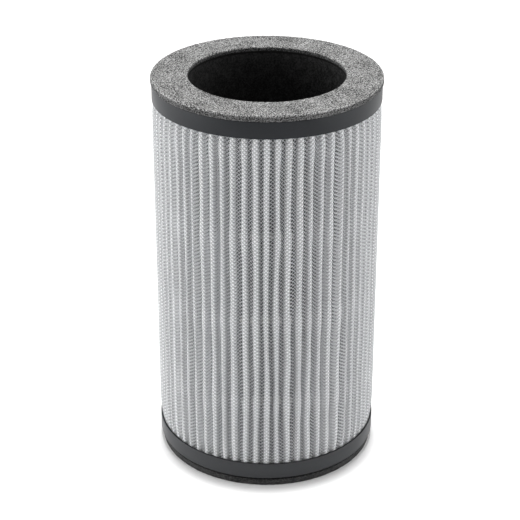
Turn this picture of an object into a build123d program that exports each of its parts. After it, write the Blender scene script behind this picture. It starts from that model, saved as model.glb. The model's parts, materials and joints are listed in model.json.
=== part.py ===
from build123d import *
from math import atan2, cos, pi, sin
import os

# Cylindrical air filter: a pleated tube potted between two ring caps.
# Millimetres, +Z up along the axis, origin on the axis at the face it stands on.

# Overall
element_height = 241.3
cap_radius = 70.0

# Moulded ring caps
skirt_height = 10.5
inner_skirt_height = 8.0
cap_wall = 1.2
cap_floor = 1.4

# Foam gaskets
top_gasket_thickness = 4.0
top_gasket_overhang = 0.6
bottom_gasket_thickness = 6.2
bottom_gasket_inset = 1.4
lining_cover = 0.75

# Carbon lining
carbon_thickness = 2.5

# Pleated media
fold_count = 64
pleat_depth = 15.5
media_thickness = 0.5
crest_width = 2.6
root_gap = 1.0

# Woven net
net_thickness = 0.3
net_dip = 1.3

# Potting
potting_bed = 1.2
potting_climb = 2.8

# Hot-melt spacer beads
bead_rows = 4
lowest_bead_height = 57.7
highest_bead_drop = 8.5
bead_height = 2.4
bead_length = 9.0
bead_setback = 1.5

# Clearances
lining_clearance = 0.15
root_clearance = 0.25
crest_clearance = 0.05
net_clearance = 0.1

# Levels that the pieces share
cap_base = bottom_gasket_thickness
cap_top = cap_base + element_height
middle = (cap_base + cap_top) / 2
channel_base = cap_base + cap_floor
bed_top = channel_base + potting_bed
climb_top = bed_top + potting_climb
overall_top = cap_top + top_gasket_thickness
highest_bead = cap_top - skirt_height - highest_bead_drop
bead_pitch = (highest_bead - lowest_bead_height) / (bead_rows - 1)

# Radii that the pieces share, from the outside in
channel_outer = cap_radius - cap_wall
net_crest_radius = channel_outer - net_clearance
crest_radius = net_crest_radius - net_thickness - crest_clearance
root_radius = crest_radius - pleat_depth
channel_inner = root_radius - root_clearance
cap_bore_radius = channel_inner - cap_wall
carbon_outer_radius = cap_bore_radius - lining_clearance
carbon_inner_radius = carbon_outer_radius - carbon_thickness
gasket_bore_radius = carbon_inner_radius - lining_cover

fold_angle = 2 * pi / fold_count


def ring(outer, inner, low, high):
    """A plain ring between two radii and two levels."""
    band = Circle(outer) - Circle(inner)
    return extrude(Plane.XY.offset(low) * band, amount=high - low)


def from_crest(turn, radius, across):
    """A point at a radius, set off sideways from the ray at angle turn."""
    x = radius * cos(turn) - across * sin(turn)
    y = radius * sin(turn) + across * cos(turn)
    return (x, y)


def round_the_pack(crest_at, crest_half, root_at, root_half):
    """A closed zigzag: a flat tip on every crest and a flat bottom in every root."""
    points = []
    for fold in range(fold_count):
        crest_turn = fold * fold_angle
        root_turn = crest_turn + fold_angle / 2
        points.append(from_crest(crest_turn, crest_at, -crest_half))
        points.append(from_crest(crest_turn, crest_at, crest_half))
        points.append(from_crest(root_turn, root_at, -root_half))
        points.append(from_crest(root_turn, root_at, root_half))
    return Polygon(*points, align=None)


def flank_lean():
    """The angle between a pleat's flank and the ray through its crest."""
    crest_corner = (crest_radius, crest_width / 2)
    root_corner = from_crest(fold_angle / 2, root_radius + media_thickness, -root_gap / 2)
    drop = crest_corner[0] - root_corner[0]
    spread = root_corner[1] - crest_corner[1]
    return atan2(spread, drop)


def pleat_section():
    """The folded sheet seen end on: two zigzags, one media thickness apart."""
    lean = flank_lean()
    crest_mitre = media_thickness * (1 - sin(lean)) / cos(lean)
    root_lean = lean - fold_angle / 2
    root_mitre = media_thickness * (1 - sin(root_lean)) / cos(root_lean)
    outer = round_the_pack(crest_radius, crest_width / 2, root_radius + media_thickness, root_gap / 2)
    inner = round_the_pack(
        crest_radius - media_thickness,
        crest_width / 2 - crest_mitre,
        root_radius,
        root_gap / 2 + root_mitre,
    )
    return outer - inner


def net_outline(crest_at, crest_half, dip_at):
    """The net's outline: flat on every crest, drawn in to a point over every valley."""
    points = []
    for fold in range(fold_count):
        crest_turn = fold * fold_angle
        points.append(from_crest(crest_turn, crest_at, -crest_half))
        points.append(from_crest(crest_turn, crest_at, crest_half))
        points.append(from_crest(crest_turn + fold_angle / 2, dip_at, 0))
    return Polygon(*points, align=None)


def pleat_pack():
    """The folded media, standing on the adhesive bed of each cap."""
    height = 2 * (middle - bed_top)
    return extrude(Plane.XY.offset(bed_top) * pleat_section(), amount=height)


def mesh_sleeve():
    """The woven net, drawn round the crests and tucked inside both skirts."""
    inner_crest = crest_radius + crest_clearance
    half_tip = crest_width / 2
    outer = net_outline(inner_crest + net_thickness, half_tip, inner_crest + net_thickness - net_dip)
    inner = net_outline(inner_crest, half_tip, inner_crest - net_dip)
    height = 2 * (middle - bed_top)
    return extrude(Plane.XY.offset(bed_top) * (outer - inner), amount=height)


def on_flank(crest_corner, root_corner, share):
    """A point part of the way down a flank, from crest to root."""
    x = crest_corner[0] + share * (root_corner[0] - crest_corner[0])
    y = crest_corner[1] + share * (root_corner[1] - crest_corner[1])
    return (x, y)


def across_valley(point):
    """The same point on the facing flank, across the middle of the valley."""
    x = point[0] * cos(fold_angle) + point[1] * sin(fold_angle)
    y = point[0] * sin(fold_angle) - point[1] * cos(fold_angle)
    return (x, y)


def valley_wedges(low, high, setback, length):
    """Adhesive between the flanks of every outer valley, set back from the crests."""
    crest_corner = from_crest(0, crest_radius, crest_width / 2)
    root_corner = from_crest(fold_angle / 2, root_radius + media_thickness, -root_gap / 2)
    depth = crest_corner[0] - root_corner[0]
    near = on_flank(crest_corner, root_corner, setback / depth)
    far = on_flank(crest_corner, root_corner, (setback + length) / depth)
    outline = Polygon(near, across_valley(near), across_valley(far), far, align=None)
    wedge = extrude(Plane.XY.offset(low) * outline, amount=high - low)
    step = 360 / fold_count
    return [Rot(0, 0, fold * step) * wedge for fold in range(fold_count)]


def spacer_bead_row(level):
    """One row of beads that hold the folds apart, centred on a level."""
    half = bead_height / 2
    return Compound(valley_wedges(level - half, level + half, bead_setback, bead_length))


def bottom_potting():
    """The adhesive bed under the folds, and what has climbed between them."""
    bed = ring(channel_outer, channel_inner, channel_base, bed_top)
    valley_depth = pleat_depth - media_thickness
    climbed = valley_wedges(channel_base, climb_top, bead_setback, valley_depth - 2 * bead_setback)
    return bed + climbed


def bottom_cap():
    """A channel ring: outer skirt, floor and a lower inner skirt."""
    skirt_top = cap_base + skirt_height
    inner_skirt_top = cap_base + inner_skirt_height
    shell = ring(cap_radius, cap_bore_radius, cap_base, skirt_top)
    shell -= ring(channel_outer, channel_inner, channel_base, skirt_top)
    return shell - ring(channel_inner, cap_bore_radius, inner_skirt_top, skirt_top)


def turned_over(piece):
    """The matching piece at the other end, mirrored about the middle of the element."""
    return mirror(piece, about=Plane.XY.offset(middle))


low_cap = bottom_cap()
low_potting = bottom_potting()
top_gasket_radius = cap_radius + top_gasket_overhang
bottom_gasket_radius = cap_radius - bottom_gasket_inset

pieces = {
    "bottom_cap": low_cap,
    "top_cap": turned_over(low_cap),
    "bottom_potting": low_potting,
    "top_potting": turned_over(low_potting),
    "pleat_pack": pleat_pack(),
    "mesh_sleeve": mesh_sleeve(),
    "carbon_sleeve": ring(carbon_outer_radius, carbon_inner_radius, cap_base, cap_top),
    "bottom_gasket": ring(bottom_gasket_radius, gasket_bore_radius, 0, cap_base),
    "top_gasket": ring(top_gasket_radius, gasket_bore_radius, cap_top, overall_top),
}
for row in range(bead_rows):
    pieces[f"spacer_bead_row_{row + 1}"] = spacer_bead_row(lowest_bead_height + row * bead_pitch)

os.makedirs("parts", exist_ok=True)
for name, piece in pieces.items():
    export_step(piece, f"parts/{name}.step")
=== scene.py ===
"""A cylindrical air filter: pleated white media under a bias-woven net, dark ring caps, foam seals."""

import json
import math

import bpy
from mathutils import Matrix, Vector, noise


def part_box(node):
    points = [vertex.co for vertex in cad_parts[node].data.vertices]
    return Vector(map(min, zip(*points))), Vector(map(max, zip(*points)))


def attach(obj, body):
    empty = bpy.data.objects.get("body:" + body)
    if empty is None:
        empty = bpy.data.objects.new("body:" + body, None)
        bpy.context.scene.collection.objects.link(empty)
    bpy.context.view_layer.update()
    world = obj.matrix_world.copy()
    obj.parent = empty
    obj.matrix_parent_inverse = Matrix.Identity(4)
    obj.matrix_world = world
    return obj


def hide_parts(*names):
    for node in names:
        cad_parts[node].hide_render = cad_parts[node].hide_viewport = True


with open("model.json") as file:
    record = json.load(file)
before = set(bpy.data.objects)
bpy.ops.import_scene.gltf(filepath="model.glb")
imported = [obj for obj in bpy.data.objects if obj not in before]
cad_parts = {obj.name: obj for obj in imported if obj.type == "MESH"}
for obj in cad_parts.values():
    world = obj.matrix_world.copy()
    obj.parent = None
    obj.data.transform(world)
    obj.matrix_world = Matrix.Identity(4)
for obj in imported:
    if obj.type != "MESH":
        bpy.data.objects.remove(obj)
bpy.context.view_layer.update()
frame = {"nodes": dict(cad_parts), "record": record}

MM = 0.001

# Camera
camera_distance = 0.9307
camera_height = 0.5918
camera_drop = 26.615
camera_turn = 0.261
camera_lens = 113.08
camera_sensor = 36.0

# Folds
fold_count = 64
fold_seed = 11.0
steps_per_fold = 12
pack_levels = 48
media_thickness = 0.5 * MM
pleat_depth = 15.5 * MM
crest_share = 0.42
root_share = 0.12
crest_crown = 0.8 * MM
pack_bulge = 1.3 * MM
bulge_reach = 4 * MM
sway_reach = 12 * MM
pitch_sway = 0.085
height_sway = 0.035

# Beads
bead_swell = 0.11
bead_reach = 7 * MM
bead_depth = 8.0 * MM
bead_half_size = (4.5 * MM, 1.3 * MM, 1.2 * MM)

# Net
net_steps_per_fold = 10
net_levels = 80
net_lift = 0.35 * MM
net_dip = 1.3 * MM
net_repeats = 184
thin_thread = 0.1
thick_thread = 0.125
# Painted shadow of the net's threads on the media: the width of its lines and how dark they are.
net_shadow_width = 0.17
net_shadow_tone = 0.38

# Rings
foam_step = 0.8 * MM
foam_edge = 1.5 * MM
foam_pitting = 0.18 * MM
groove_height = 2.0 * MM
groove_depth = 2.0 * MM
cap_wall = 1.2 * MM
cap_floor = 1.4 * MM
inner_skirt_height = 8.0 * MM
cap_edge = 0.5 * MM
cap_segments = 256
lining_clearance = 0.15 * MM
carbon_thickness = 2.5 * MM
carbon_step = 2.2 * MM
carbon_pitting = 0.15 * MM

# Stage
floor_size = 12.0
floor_drop = 0.2 * MM
floor_lift = 0.1
air_light = 0.25
box_size = 1.0
box_height = 0.35
box_aim = 0.13
ceiling_lean = 1.8
ceiling_spread = 3.6
ceiling_power = 3.4


def span(node):
    """Outer radius, lowest level and highest level of a piece of the frame."""
    low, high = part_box(node)
    return (high.x - low.x) / 2, low.z, high.z


cap_radius, cap_base, low_skirt_edge = span("bottom_cap")
_, high_skirt_edge, cap_top = span("top_cap")
crest_radius, bed_top, bed_ceiling = span("pleat_pack")
carbon_radius, _, _ = span("carbon_sleeve")
bead_levels = [sum(span(f"spacer_bead_row_{row}")[1:]) / 2 for row in (1, 2, 3, 4)]
bead_pitch = bead_levels[1] - bead_levels[0]
gasket_bore = frame["record"]["mounts"][0]["dims"]["r_mm"] * MM
root_radius = crest_radius - pleat_depth


class Wiring:
    """Short calls that add and join nodes in one tree."""

    def __init__(self, tree):
        self.tree = tree

    def add(self, kind, **settings):
        node = self.tree.nodes.new(kind)
        for name, value in settings.items():
            setattr(node, name, value)
        return node

    def feed(self, socket, value):
        if isinstance(value, bpy.types.NodeSocket):
            self.tree.links.new(value, socket)
        else:
            socket.default_value = value

    def sum(self, operation, *values, clamp=False):
        node = self.add("ShaderNodeMath", operation=operation, use_clamp=clamp)
        for socket, value in zip(node.inputs, values):
            self.feed(socket, value)
        return node.outputs[0]

    def split(self, vector):
        node = self.add("ShaderNodeSeparateXYZ")
        self.feed(node.inputs[0], vector)
        return node.outputs

    def vector(self, x, y, z):
        node = self.add("ShaderNodeCombineXYZ")
        for socket, value in zip(node.inputs, (x, y, z)):
            self.feed(socket, value)
        return node.outputs[0]

    def spread(self, value, low, high, to_low, to_high, smooth=False):
        node = self.add("ShaderNodeMapRange")
        node.interpolation_type = "SMOOTHSTEP" if smooth else "LINEAR"
        for socket, number in zip(node.inputs, (value, low, high, to_low, to_high)):
            self.feed(socket, number)
        return node.outputs[0]

    def grain(self, place, scale, detail=2.0, roughness=0.5, seed=0.0):
        node = self.add("ShaderNodeTexNoise", noise_dimensions="4D")
        self.feed(node.inputs["Vector"], place)
        self.feed(node.inputs["W"], seed)
        self.feed(node.inputs["Scale"], scale)
        self.feed(node.inputs["Detail"], detail)
        self.feed(node.inputs["Roughness"], roughness)
        return node.outputs["Fac"]


def fresh_tree(name, sizes):
    """A geometry tree with a named input for each size and one for its finish."""
    tree = bpy.data.node_groups.new(name, "GeometryNodeTree")
    tree.interface.new_socket("Geometry", in_out="OUTPUT", socket_type="NodeSocketGeometry")
    for label, value in sizes.items():
        kind = "NodeSocketInt" if isinstance(value, int) else "NodeSocketFloat"
        tree.interface.new_socket(label, in_out="INPUT", socket_type=kind)
    tree.interface.new_socket("Finish", in_out="INPUT", socket_type="NodeSocketMaterial")
    return Wiring(tree)


def plain_mesh(name, wiring, sizes, finish):
    """Runs the tree once with its sizes and keeps the result as a plain mesh object."""
    carrier = bpy.data.objects.new(name + "_form", bpy.data.meshes.new(name + "_form"))
    bpy.context.scene.collection.objects.link(carrier)
    modifier = carrier.modifiers.new("Form", "NODES")
    modifier.node_group = wiring.tree
    values = {**sizes, "Finish": finish}
    for item in wiring.tree.interface.items_tree:
        if item.in_out == "INPUT":
            modifier[item.identifier] = values[item.name]
    bpy.context.view_layer.update()
    shown = carrier.evaluated_get(bpy.context.evaluated_depsgraph_get())
    mesh = bpy.data.meshes.new_from_object(shown)
    bpy.data.objects.remove(carrier)
    mesh.name = name
    piece = bpy.data.objects.new(name, mesh)
    bpy.context.scene.collection.objects.link(piece)
    return piece


def finish_form(wiring, geometry, given):
    """The closing nodes of every tree: merge, smooth, realize, material."""
    merge = wiring.add("GeometryNodeMergeByDistance")
    wiring.feed(merge.inputs["Geometry"], geometry)
    wiring.feed(merge.inputs["Distance"], 0.002 * MM)
    smooth = wiring.add("GeometryNodeSetShadeSmooth")
    wiring.feed(smooth.inputs["Geometry"], merge.outputs[0])
    real = wiring.add("GeometryNodeRealizeInstances")
    wiring.feed(real.inputs["Geometry"], smooth.outputs[0])
    paint = wiring.add("GeometryNodeSetMaterial")
    wiring.feed(paint.inputs["Geometry"], real.outputs[0])
    wiring.feed(paint.inputs["Material"], given["Finish"])
    out = wiring.add("NodeGroupOutput")
    wiring.feed(out.inputs[0], paint.outputs[0])


def end_share(wiring, height, reach, given):
    """0 at the skirts' edges and beyond them, rising to 1 in the open stretch."""
    above = wiring.sum("SUBTRACT", height, given["Low Skirt"])
    below = wiring.sum("SUBTRACT", given["High Skirt"], height)
    nearest = wiring.sum("MAXIMUM", wiring.sum("MINIMUM", above, below), 0.0)
    fall = wiring.sum("EXPONENT", wiring.sum("DIVIDE", nearest, -reach))
    return wiring.sum("SUBTRACT", 1.0, fall)


def fold_turn(wiring, around, height, given):
    """The angle of a point of the pack, with the uneven pitch and waver of hand-set folds."""
    even = wiring.sum("MULTIPLY", around, math.tau)
    girth = wiring.sum("DIVIDE", given["Folds"], math.tau)
    circle_x = wiring.sum("MULTIPLY", wiring.sum("COSINE", even), girth)
    circle_y = wiring.sum("MULTIPLY", wiring.sum("SINE", even), girth)
    steady = wiring.vector(circle_x, circle_y, wiring.sum("MULTIPLY", height, 2.5))
    wavering = wiring.vector(circle_x, circle_y, wiring.sum("MULTIPLY", height, 22.0))
    pitch = wiring.sum("SUBTRACT", wiring.grain(steady, 0.62, 1.0, 0.5, given["Seed"]), 0.5)
    waver = wiring.sum("SUBTRACT", wiring.grain(wavering, 0.9, 1.0, 0.5, given["Seed"]), 0.5)
    pitch = wiring.sum("MULTIPLY", pitch, given["Pitch Sway"])
    waver = wiring.sum("MULTIPLY", waver, given["Height Sway"])
    sway = wiring.sum("ADD", pitch, waver)
    sway = wiring.sum("MULTIPLY", sway, end_share(wiring, height, sway_reach, given))
    return wiring.sum("ADD", even, sway)


def swell_at(wiring, height, given):
    """1 at the height of a row of spacer beads, 0 between the rows."""
    above = wiring.sum("SUBTRACT", height, given["First Bead"])
    rows = wiring.sum("DIVIDE", above, given["Bead Pitch"])
    off = wiring.sum("SUBTRACT", wiring.sum("FRACT", wiring.sum("ADD", rows, 0.5)), 0.5)
    off = wiring.sum("DIVIDE", wiring.sum("MULTIPLY", off, given["Bead Pitch"]), bead_reach)
    return wiring.sum("EXPONENT", wiring.sum("MULTIPLY", wiring.sum("MULTIPLY", off, off), -1.0))


def crest_half(wiring, height, given):
    """The share of half a fold that its crest takes up, wider at the beads."""
    swell = wiring.sum("MULTIPLY", swell_at(wiring, height, given), bead_swell)
    return wiring.sum("ADD", crest_share, swell)


def wrapped_grid(wiring, around_steps, levels, given):
    """A grid to be rolled up, with each point's share around and its height."""
    grid = wiring.add("GeometryNodeMeshGrid")
    wiring.feed(grid.inputs["Vertices X"], around_steps)
    wiring.feed(grid.inputs["Vertices Y"], levels)
    around, along, _ = wiring.split(grid.outputs["UV Map"])
    rise = wiring.sum("SUBTRACT", given["Top"], given["Base"])
    height = wiring.sum("MULTIPLY_ADD", along, rise, given["Base"])
    return grid.outputs["Mesh"], around, height


def fold_share(wiring, around, given):
    """0 on a crest, 1 in the middle of a valley, and where in the fold the point is."""
    turns = wiring.sum("MULTIPLY", around, given["Folds"])
    off = wiring.sum("SUBTRACT", wiring.sum("FRACT", wiring.sum("ADD", turns, 0.5)), 0.5)
    return wiring.sum("MULTIPLY", wiring.sum("ABSOLUTE", off), 2.0), off, turns


def gathered(wiring, share, half):
    """Puts half of a fold's points on its crest and half on its flank, one at the crease."""
    twice = wiring.sum("MULTIPLY", share, 2.0)
    on_crest = wiring.sum("MULTIPLY", wiring.sum("MINIMUM", twice, 1.0), half)
    on_flank = wiring.sum("MAXIMUM", wiring.sum("SUBTRACT", twice, 1.0), 0.0)
    return wiring.sum("MULTIPLY_ADD", on_flank, wiring.sum("SUBTRACT", 1.0, half), on_crest)


def placed_on_turn(wiring, geometry, radius, turn, height):
    """Sets every point at its radius, angle and height."""
    x = wiring.sum("MULTIPLY", radius, wiring.sum("COSINE", turn))
    y = wiring.sum("MULTIPLY", radius, wiring.sum("SINE", turn))
    place = wiring.add("GeometryNodeSetPosition")
    wiring.feed(place.inputs["Geometry"], geometry)
    wiring.feed(place.inputs["Position"], wiring.vector(x, y, height))
    return place.outputs[0]


def mapped(wiring, geometry, across, along):
    """Keeps a flat map of the sheet, in metres, for the net's weave and for the painted shadow of the
    net on the media.
    """
    store = wiring.add("GeometryNodeStoreNamedAttribute", data_type="FLOAT2", domain="CORNER")
    wiring.feed(store.inputs["Geometry"], geometry)
    wiring.feed(store.inputs["Name"], "UVMap")
    wiring.feed(store.inputs["Value"], wiring.vector(across, along, 0.0))
    return store.outputs[0]


def crest_reach(wiring, height, given):
    """The radius of the crests: gripped in the caps, bulging a little between them."""
    bulge = wiring.sum("MULTIPLY", end_share(wiring, height, bulge_reach, given), given["Bulge"])
    return wiring.sum("ADD", given["Crest Radius"], bulge)


pack_sizes = {
    "Folds": fold_count,
    "Seed": fold_seed,
    "Crest Radius": crest_radius,
    "Root Radius": root_radius,
    "Bulge": pack_bulge,
    "Base": bed_top,
    "Top": bed_ceiling,
    "Low Skirt": low_skirt_edge,
    "High Skirt": high_skirt_edge,
    "First Bead": bead_levels[0],
    "Bead Pitch": bead_pitch,
    "Pitch Sway": pitch_sway,
    "Height Sway": height_sway,
}


def pleated_media(finish):
    """The folded sheet of media, closed into a tube."""
    wiring = fresh_tree("pleated_media", pack_sizes)
    given = wiring.add("NodeGroupInput").outputs
    around_steps = fold_count * steps_per_fold + 1
    mesh, even_around, height = wrapped_grid(wiring, around_steps, pack_levels + 1, given)
    share, off, turns = fold_share(wiring, even_around, given)
    half = crest_half(wiring, height, given)
    close = gathered(wiring, share, half)
    side = wiring.sum("SIGN", off)
    crest_turns = wiring.sum("SUBTRACT", turns, off)
    near = wiring.sum("MULTIPLY", wiring.sum("MULTIPLY", close, side), 0.5)
    around = wiring.sum("DIVIDE", wiring.sum("ADD", crest_turns, near), given["Folds"])
    rise = wiring.spread(close, half, 1.0 - root_share, 1.0, 0.0)
    round_off = wiring.sum("DIVIDE", close, half)
    round_off = wiring.sum("MULTIPLY", round_off, round_off)
    round_off = wiring.sum("MULTIPLY", wiring.sum("MINIMUM", round_off, 1.0), crest_crown)
    crest = crest_reach(wiring, height, given)
    depth = wiring.sum("SUBTRACT", crest, given["Root Radius"])
    radius = wiring.sum("MULTIPLY_ADD", rise, depth, given["Root Radius"])
    radius = wiring.sum("SUBTRACT", radius, round_off)
    turn = fold_turn(wiring, around, height, given)
    sheet = placed_on_turn(wiring, mesh, radius, turn, height)
    sheet = mapped(wiring, sheet, wiring.sum("MULTIPLY", around, math.tau * cap_radius), height)
    finish_form(wiring, sheet, given)
    piece = plain_mesh("pleated_media", wiring, pack_sizes, finish)
    wall = piece.modifiers.new("Thickness", "SOLIDIFY")
    wall.thickness = media_thickness
    wall.offset = -1.0
    return piece


def woven_sleeve(finish):
    """The net, drawn over the crests and slack over the valleys."""
    wiring = fresh_tree("woven_sleeve", pack_sizes)
    given = wiring.add("NodeGroupInput").outputs
    around_steps = fold_count * net_steps_per_fold + 1
    mesh, around, height = wrapped_grid(wiring, around_steps, net_levels + 1, given)
    share, _, _ = fold_share(wiring, around, given)
    half = crest_half(wiring, height, given)
    slack = wiring.spread(share, half, 1.0, 0.0, net_dip, smooth=True)
    reach = wiring.sum("ADD", crest_reach(wiring, height, given), net_lift)
    radius = wiring.sum("SUBTRACT", reach, slack)
    turn = fold_turn(wiring, around, height, given)
    sheet = placed_on_turn(wiring, mesh, radius, turn, height)
    across = wiring.sum("MULTIPLY", around, math.tau * cap_radius)
    sheet = mapped(wiring, sheet, across, height)
    finish_form(wiring, sheet, given)
    return plain_mesh("woven_sleeve", wiring, pack_sizes, finish)


def bead_row(row, finish):
    """One row of set adhesive beads, one in every outer valley."""
    sizes = {**pack_sizes, "Level": bead_levels[row]}
    name = f"adhesive_beads_{row + 1}"
    wiring = fresh_tree(name, sizes)
    given = wiring.add("NodeGroupInput").outputs
    line = wiring.add("GeometryNodeMeshLine")
    wiring.feed(line.inputs["Count"], given["Folds"])
    index = wiring.add("GeometryNodeInputIndex").outputs[0]
    around = wiring.sum("DIVIDE", wiring.sum("ADD", index, 0.5), given["Folds"])
    turn = fold_turn(wiring, around, given["Level"], given)
    radius = wiring.sum("SUBTRACT", given["Crest Radius"], bead_depth)
    points = placed_on_turn(wiring, line.outputs[0], radius, turn, given["Level"])
    bead = wiring.add("GeometryNodeMeshUVSphere")
    wiring.feed(bead.inputs["Segments"], 10)
    wiring.feed(bead.inputs["Rings"], 6)
    wiring.feed(bead.inputs["Radius"], 1.0)
    spots = wiring.add("GeometryNodeInstanceOnPoints")
    wiring.feed(spots.inputs["Points"], points)
    wiring.feed(spots.inputs["Instance"], bead.outputs[0])
    wiring.feed(spots.inputs["Rotation"], wiring.vector(0.0, 0.0, turn))
    wiring.feed(spots.inputs["Scale"], bead_half_size)
    real = wiring.add("GeometryNodeRealizeInstances")
    wiring.feed(real.inputs["Geometry"], spots.outputs[0])
    finish_form(wiring, real.outputs[0], given)
    return plain_mesh(name, wiring, sizes, finish)


def rounded(corners, radii, steps=4):
    """The outline through the corners, with each corner rounded to its radius."""
    outline = []
    for place, (corner, radius) in enumerate(zip(corners, radii)):
        here = Vector(corner)
        before = (Vector(corners[place - 1]) - here).normalized()
        after = (Vector(corners[(place + 1) % len(corners)]) - here).normalized()
        if radius == 0:
            outline.append(here)
            continue
        centre = here + (before + after) * radius
        for step in range(steps + 1):
            angle = step / steps * math.pi / 2
            reach = after * math.cos(angle) + before * math.sin(angle)
            outline.append(centre - reach * radius)
    return outline


def divided(outline, step):
    """The same closed outline with no run longer than a step."""
    points = []
    for place, start in enumerate(outline):
        end = outline[(place + 1) % len(outline)]
        count = max(1, math.ceil((end - start).length / step))
        points += [start.lerp(end, share / count) for share in range(count)]
    return points


def turned_ring(name, outline, segments, finish):
    """A closed ring: the outline of radius and height, turned about the axis."""
    points = []
    for place in range(segments):
        angle = math.tau * place / segments
        points += [(spot.x * math.cos(angle), spot.x * math.sin(angle), spot.y) for spot in outline]
    size = len(outline)
    faces = []
    for place in range(segments):
        here = place * size
        there = (place + 1) % segments * size
        for spot in range(size):
            nearby = (spot + 1) % size
            faces.append((here + spot, there + spot, there + nearby, here + nearby))
    mesh = bpy.data.meshes.new(name)
    mesh.from_pydata(points, [], faces)
    mesh.materials.append(finish)
    mesh.shade_smooth()
    piece = bpy.data.objects.new(name, mesh)
    bpy.context.scene.collection.objects.link(piece)
    return piece


def roughened(piece, depth, scale, seed):
    """Pits and lifts the surface with fixed noise, as in open-cell foam or felt."""
    shift = Vector((seed, seed, seed))
    normals = [vertex.normal.copy() for vertex in piece.data.vertices]
    for vertex, normal in zip(piece.data.vertices, normals):
        spot = vertex.co * scale + shift
        vertex.co += normal * depth * noise.noise(spot)
    return piece


def foam_ring(name, corners, radii, seed, finish):
    """A foam seal turned from its outline, its surface pitted."""
    outline = divided(rounded(corners, radii), foam_step)
    outer = max(corner[0] for corner in corners)
    piece = turned_ring(name, outline, round(math.tau * outer / foam_step), finish)
    return roughened(piece, foam_pitting, 900, seed)


def top_foam_ring(finish):
    """The upper seal: soft rounded edges that stand a little proud of the cap."""
    outer, low, high = span("top_gasket")
    corners = [(gasket_bore, low), (outer, low), (outer, high), (gasket_bore, high)]
    radii = [0.25 * MM, 1.0 * MM, foam_edge, 0.7 * MM]
    return foam_ring("top_foam_ring", corners, radii, 4.0, finish)


def low_foam_ring(finish):
    """The lower seal: a narrower glued neck under the cap over a wider foot."""
    outer, low, high = span("bottom_gasket")
    step = high - groove_height
    neck = outer - groove_depth
    foot = [(gasket_bore, low), (outer, low), (outer, step)]
    corners = foot + [(neck, step), (neck, high), (gasket_bore, high)]
    small = 0.25 * MM
    radii = [0.6 * MM, 0.8 * MM, 0.8 * MM, small, small, small]
    return foam_ring("low_foam_ring", corners, radii, 9.0, finish)


def ring_cap(name, base, up, finish):
    """A moulded channel ring, its floor at base and its skirts standing towards up."""
    bore = carbon_radius + lining_clearance
    edge = base + up * (low_skirt_edge - cap_base)
    floor = base + up * cap_floor
    inner_edge = base + up * inner_skirt_height
    inside = cap_radius - cap_wall
    channel = bore + cap_wall
    corners = [
        (bore, base),
        (cap_radius, base),
        (cap_radius, edge),
        (inside, edge),
        (inside, floor),
        (channel, floor),
        (channel, inner_edge),
        (bore, inner_edge),
    ]
    small = 0.2 * MM
    radii = [small, cap_edge, small, small, small, small, small, small]
    if up < 0:
        corners.reverse()
        radii.reverse()
    return turned_ring(name, rounded(corners, radii), cap_segments, finish)


def carbon_lining(finish):
    """The felt tube of carbon inside the folds."""
    inner = carbon_radius - carbon_thickness
    corners = [(inner, cap_base), (carbon_radius, cap_base), (carbon_radius, cap_top), (inner, cap_top)]
    outline = divided(rounded(corners, [0.3 * MM] * 4, 2), carbon_step)
    segments = round(math.tau * inner / carbon_step)
    piece = turned_ring("carbon_lining", outline, segments, finish)
    return roughened(piece, carbon_pitting, 500, 2.0)


def new_finish(name):
    """A material with its wiring, its surface shader and the piece's own coordinates."""
    material = bpy.data.materials.new(name)
    material.use_nodes = True
    wiring = Wiring(material.node_tree)
    surface = material.node_tree.nodes["Principled BSDF"]
    place = wiring.add("ShaderNodeTexCoord").outputs["Object"]
    return material, wiring, surface, place


def blended(wiring, share, first, second):
    """A colour between two, each given in numbers or by a socket, by a share from 0 to 1."""
    mix = wiring.add("ShaderNodeMix", data_type="RGBA")
    wiring.feed(mix.inputs["Factor"], share)
    for label, colour in (("A", first), ("B", second)):
        wiring.feed(mix.inputs[label], (*colour, 1.0) if isinstance(colour, tuple) else colour)
    return mix.outputs["Result"]


def relief(wiring, surface, height, distance, strength=1.0):
    """Small relief under the light, from a height."""
    bump = wiring.add("ShaderNodeBump")
    wiring.feed(bump.inputs["Height"], height)
    wiring.feed(bump.inputs["Distance"], distance)
    wiring.feed(bump.inputs["Strength"], strength)
    wiring.feed(surface.inputs["Normal"], bump.outputs[0])


def from_axis(wiring, place):
    """How far a point is from the tube's axis."""
    x, y, _ = wiring.split(place)
    return wiring.sum("SQRT", wiring.sum("MULTIPLY_ADD", x, x, wiring.sum("MULTIPLY", y, y)))


def crossed_threads(wiring, half_thread):
    """Two lays of threads on the bias: how near a point is to each one's middle, and its square."""
    flat = wiring.add("ShaderNodeUVMap", uv_map="UVMap").outputs[0]
    across, along, _ = wiring.split(flat)
    repeat = math.tau * cap_radius / net_repeats
    x = wiring.sum("DIVIDE", across, repeat)
    y = wiring.sum("DIVIDE", along, repeat)
    rising = wiring.sum("ADD", x, y)
    falling = wiring.sum("SUBTRACT", x, y)
    tops = []
    for lay in (rising, falling):
        off = wiring.sum("ABSOLUTE", wiring.sum("SUBTRACT", wiring.sum("FRACT", lay), 0.5))
        near = wiring.sum("DIVIDE", off, half_thread)
        tops.append(wiring.sum("MULTIPLY_ADD", wiring.sum("MULTIPLY", near, near), -1.0, 1.0))
    crossing = wiring.sum("ADD", wiring.sum("FLOOR", rising), wiring.sum("FLOOR", falling))
    return tops, crossing


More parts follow.
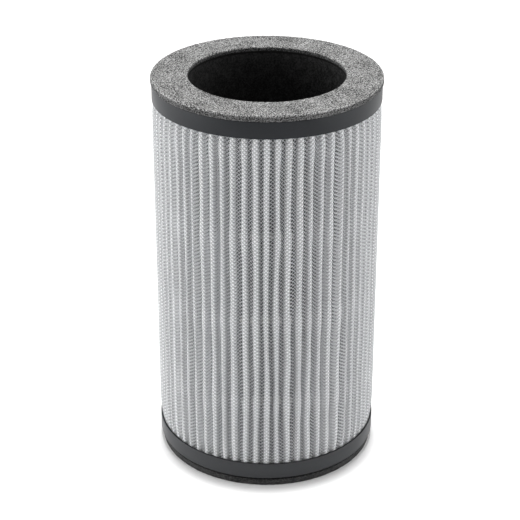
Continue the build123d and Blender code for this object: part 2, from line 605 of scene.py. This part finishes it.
def filter_paper():
    """White fibrous media, with painted shade deep in the folds and a painted shadow of the net's
    threads.
    """
    material, wiring, surface, place = new_finish("filter_paper")
    cloud = wiring.grain(place, 160.0, 3.0, 0.6)
    fibres = wiring.grain(place, 2200.0, 3.0, 0.7)
    tone = wiring.sum("MULTIPLY_ADD", fibres, 0.4, wiring.sum("MULTIPLY", cloud, 0.6))
    share = wiring.spread(tone, 0.35, 0.65, 0.0, 1.0)
    white = blended(wiring, share, (0.78, 0.79, 0.8), (0.9, 0.905, 0.91))
    # Painted shade: the media is painted darker with depth below the crests, for the shade deep in the
    # folds.
    reach = wiring.spread(from_axis(wiring, place), crest_radius - 9.0 * MM, crest_radius, 0.0, 1.0)
    reach = wiring.sum("POWER", reach, 2.5)
    fold_shaded = blended(wiring, reach, (0.13, 0.13, 0.135), white)
    # Painted shadow: the net's threads, at the same angles and heights as the net, darken the media
    # beneath them.
    tops, _ = crossed_threads(wiring, net_shadow_width)
    painted_net_shadow = wiring.spread(wiring.sum("MAXIMUM", tops[0], tops[1]), -0.6, 0.6, 1.0, net_shadow_tone)
    shaded_paper = wiring.add("ShaderNodeVectorMath", operation="SCALE")
    wiring.feed(shaded_paper.inputs[0], fold_shaded)
    wiring.feed(shaded_paper.inputs["Scale"], painted_net_shadow)
    wiring.feed(surface.inputs["Base Color"], shaded_paper.outputs[0])
    surface.inputs["Roughness"].default_value = 0.95
    surface.inputs["Specular IOR Level"].default_value = 0.2
    relief(wiring, surface, fibres, 0.08 * MM, 0.6)
    return material


def bias_weave():
    """Grey net of thin round threads crossing on the bias, open between them."""
    material, wiring, surface, place = new_finish("bias_weave")
    stretch = wiring.grain(place, 60.0, 1.0)
    half_thread = wiring.spread(stretch, 0.3, 0.7, thin_thread, thick_thread)
    tops, crossing = crossed_threads(wiring, half_thread)
    over = wiring.sum("MULTIPLY", wiring.sum("FRACT", wiring.sum("MULTIPLY", crossing, 0.5)), 0.8)
    first = wiring.sum("ADD", tops[0], over)
    second = wiring.sum("SUBTRACT", wiring.sum("ADD", tops[1], 0.4), over)
    relief(wiring, surface, wiring.sum("MAXIMUM", first, second), 0.15 * MM, 0.9)
    covered = wiring.sum("GREATER_THAN", wiring.sum("MAXIMUM", tops[0], tops[1]), 0.0)
    wiring.feed(surface.inputs["Alpha"], covered)
    tint = wiring.grain(place, 300.0, 2.0)
    share = wiring.spread(tint, 0.3, 0.7, 0.0, 1.0)
    colour = blended(wiring, share, (0.46, 0.47, 0.485), (0.54, 0.55, 0.565))
    wiring.feed(surface.inputs["Base Color"], colour)
    surface.inputs["Roughness"].default_value = 0.6
    return material


def satin_plastic():
    """Dark grey moulded plastic with a faint grain, painted lighter on the lower cap for the light
    bounced up from the floor.
    """
    material, wiring, surface, place = new_finish("satin_plastic")
    cloud = wiring.grain(place, 45.0, 2.0)
    grain = wiring.grain(place, 1800.0, 2.0, 0.6)
    tone = wiring.sum("MULTIPLY_ADD", grain, 0.5, wiring.sum("MULTIPLY", cloud, 0.5))
    share = wiring.spread(tone, 0.35, 0.65, 0.0, 1.0)
    own_tone = blended(wiring, share, (0.013, 0.0142, 0.0162), (0.018, 0.0195, 0.022))
    # Painted light: the lower cap is painted lighter, for the light the white floor bounces onto it.
    _, _, height = wiring.split(place)
    painted_light_share = wiring.spread(height, low_skirt_edge, high_skirt_edge, 1.0, 0.0)
    colour = blended(wiring, painted_light_share, own_tone, (0.034, 0.0352, 0.0375))
    wiring.feed(surface.inputs["Base Color"], colour)
    gloss = wiring.spread(cloud, 0.3, 0.7, 0.38, 0.46)
    wiring.feed(surface.inputs["Roughness"], gloss)
    surface.inputs["Specular IOR Level"].default_value = 0.13
    relief(wiring, surface, grain, 0.02 * MM, 0.4)
    return material


def open_cell_foam():
    """Grey speckled foam: pale struts round dark cells, with painted shade on its sides, more on the
    lower ring, and deep in its bore.
    """
    material, wiring, surface, place = new_finish("open_cell_foam")
    cells = wiring.add("ShaderNodeTexVoronoi", feature="F1")
    wiring.feed(cells.inputs["Vector"], place)
    wiring.feed(cells.inputs["Scale"], 1300.0)
    pit = cells.outputs["Distance"]
    salt = wiring.grain(place, 1500.0, 2.0, 0.6)
    cloud = wiring.grain(place, 70.0, 2.0)
    tone = wiring.sum("MULTIPLY_ADD", salt, 1.2, wiring.sum("MULTIPLY", pit, 0.3))
    tone = wiring.sum("MULTIPLY_ADD", cloud, 0.2, tone)
    share = wiring.spread(tone, 0.77, 1.0, 0.0, 1.0)
    top_face_colour = blended(wiring, share, (0.02, 0.02, 0.02), (0.43, 0.43, 0.425))
    # Painted shade: the sides of the lower ring, under the cap and by the floor, are painted darker
    # still.
    _, _, height = wiring.split(place)
    upper = wiring.sum("GREATER_THAN", height, cap_base)
    pale = wiring.sum("MULTIPLY", share, wiring.sum("MULTIPLY_ADD", upper, 0.65, 0.35))
    side = blended(wiring, pale, (0.015, 0.015, 0.015), (0.15, 0.15, 0.15))
    face = span("top_gasket")[2]
    # Painted light and shade: the top face takes the lighter colour and the sides the darker one, for
    # light falling from above.
    on_face = wiring.spread(height, face - 1.2 * MM, face - 0.3 * MM, 0.0, 1.0, smooth=True)
    # Painted shade: the wall of the bore below the top face is painted near black.
    painted_light_share = wiring.spread(height, face - 3.2 * MM, face - 1.8 * MM, 0.0, 1.0, smooth=True)
    outward = wiring.sum("GREATER_THAN", from_axis(wiring, place), gasket_bore + 2.0 * MM)
    painted_light_share = wiring.sum("MAXIMUM", painted_light_share, outward)
    wall = blended(wiring, painted_light_share, (0.003, 0.003, 0.003), side)
    colour = blended(wiring, on_face, wall, top_face_colour)
    wiring.feed(surface.inputs["Base Color"], colour)
    surface.inputs["Roughness"].default_value = 0.95
    surface.inputs["Specular IOR Level"].default_value = 0.15
    relief(wiring, surface, tone, 0.5 * MM, 0.6)
    return material


def carbon_felt():
    """Black granular felt."""
    material, wiring, surface, place = new_finish("carbon_felt")
    grains = wiring.grain(place, 900.0, 3.0, 0.7)
    clumps = wiring.grain(place, 180.0, 2.0)
    tone = wiring.sum("MULTIPLY_ADD", grains, 0.7, wiring.sum("MULTIPLY", clumps, 0.3))
    share = wiring.spread(tone, 0.42, 0.68, 0.0, 1.0)
    colour = blended(wiring, share, (0.0005, 0.0005, 0.0005), (0.042, 0.042, 0.042))
    wiring.feed(surface.inputs["Base Color"], colour)
    surface.inputs["Roughness"].default_value = 0.9
    surface.inputs["Specular IOR Level"].default_value = 0.2
    relief(wiring, surface, grains, 0.5 * MM, 0.7)
    return material


def set_adhesive():
    """Milky set adhesive with soft ripples."""
    material, wiring, surface, place = new_finish("set_adhesive")
    ripple = wiring.grain(place, 260.0, 2.0)
    share = wiring.spread(ripple, 0.3, 0.7, 0.0, 1.0)
    colour = blended(wiring, share, (0.22, 0.215, 0.205), (0.32, 0.315, 0.3))
    wiring.feed(surface.inputs["Base Color"], colour)
    surface.inputs["Roughness"].default_value = 0.35
    relief(wiring, surface, ripple, 0.3 * MM, 0.5)
    return material


def seen_directly(wiring):
    """1 for what the camera sees, straight, in a reflection or through glass."""
    path = wiring.add("ShaderNodeLightPath").outputs
    first = wiring.sum("MAXIMUM", path["Is Camera Ray"], path["Is Glossy Ray"])
    return wiring.sum("MAXIMUM", first, path["Is Transmission Ray"])


def white_floor():
    """A white sweep that keeps the object's shadow."""
    bpy.ops.mesh.primitive_plane_add(size=floor_size, location=(0.0, 0.0, -floor_drop))
    floor = bpy.context.object
    floor.name = "floor"
    material = bpy.data.materials.new("white_paper_sweep")
    material.use_nodes = True
    wiring = Wiring(material.node_tree)
    surface = material.node_tree.nodes["Principled BSDF"]
    surface.inputs["Base Color"].default_value = (0.85, 0.85, 0.85, 1.0)
    surface.inputs["Roughness"].default_value = 0.9
    surface.inputs["Specular IOR Level"].default_value = 0.0
    surface.inputs["Emission Color"].default_value = (1.0, 1.0, 1.0, 1.0)
    lift = wiring.sum("MULTIPLY", seen_directly(wiring), floor_lift)
    wiring.feed(surface.inputs["Emission Strength"], lift)
    floor.data.materials.append(material)


def studio_air():
    """Even pale light all round; white where the camera sees past the floor."""
    world = bpy.data.worlds.new("studio_air")
    world.use_nodes = True
    wiring = Wiring(world.node_tree)
    background = world.node_tree.nodes["Background"]
    background.inputs["Color"].default_value = (1.0, 1.0, 1.0, 1.0)
    strength = wiring.spread(seen_directly(wiring), 0.0, 1.0, air_light, 1.0)
    wiring.feed(background.inputs["Strength"], strength)
    bpy.context.scene.world = world


def soft_box(name, x, y, power):
    """A square soft light at one height, aimed at the middle of the filter."""
    light = bpy.data.lights.new(name, "AREA")
    light.size = box_size
    light.energy = power
    lamp = bpy.data.objects.new(name, light)
    bpy.context.scene.collection.objects.link(lamp)
    lamp.location = (x, y, box_height)
    aim = Vector((0.0, 0.0, box_aim)) - lamp.location
    lamp.rotation_euler = aim.to_track_quat("-Z", "Y").to_euler()


def high_lamp(name):
    """Even light from high overhead, leaning a little forward."""
    light = bpy.data.lights.new(name, "SUN")
    light.energy = ceiling_power
    light.angle = math.radians(ceiling_spread)
    lamp = bpy.data.objects.new(name, light)
    bpy.context.scene.collection.objects.link(lamp)
    lamp.location = (0.0, 0.2, 2.0)
    lamp.rotation_euler = (math.radians(-ceiling_lean), 0.0, 0.0)


def set_camera():
    """The photograph's view: from in front and above, long lens."""
    data = bpy.data.cameras.new("camera")
    data.lens = camera_lens
    data.sensor_width = camera_sensor
    camera = bpy.data.objects.new("camera", data)
    bpy.context.scene.collection.objects.link(camera)
    camera.location = (0.0, -camera_distance, camera_height)
    camera.rotation_euler = (math.radians(90 - camera_drop), 0.0, math.radians(camera_turn))
    bpy.context.scene.camera = camera


def stands_for(piece, node):
    """Joins a finished piece to the frame in the place of one of its nodes."""
    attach(piece, "root")
    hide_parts(node)
    return piece


set_camera()
white_floor()
studio_air()
soft_box("left_box", -1.45, -0.5, 19.0)
soft_box("right_box", 1.45, -0.5, 13.0)
soft_box("left_rim_box", -1.4, 0.45, 12.0)
soft_box("right_rim_box", 1.4, 0.45, 8.5)
high_lamp("ceiling_lamp")

paper = filter_paper()
weave = bias_weave()
plastic = satin_plastic()
foam = open_cell_foam()
carbon = carbon_felt()
adhesive = set_adhesive()

media = stands_for(pleated_media(paper), "pleat_pack")
net = stands_for(woven_sleeve(weave), "mesh_sleeve")
for row in range(len(bead_levels)):
    stands_for(bead_row(row, adhesive), f"spacer_bead_row_{row + 1}")
stands_for(ring_cap("low_ring_cap", cap_base, 1, plastic), "bottom_cap")
stands_for(ring_cap("high_ring_cap", cap_top, -1, plastic), "top_cap")
top_foam = stands_for(top_foam_ring(foam), "top_gasket")
low_foam = stands_for(low_foam_ring(foam), "bottom_gasket")
lining = stands_for(carbon_lining(carbon), "carbon_sleeve")
for node in ("bottom_potting", "top_potting"):
    frame["nodes"][node].data.materials.clear()
    frame["nodes"][node].data.materials.append(adhesive)

view = bpy.context.scene.view_settings
view.view_transform = "Standard"
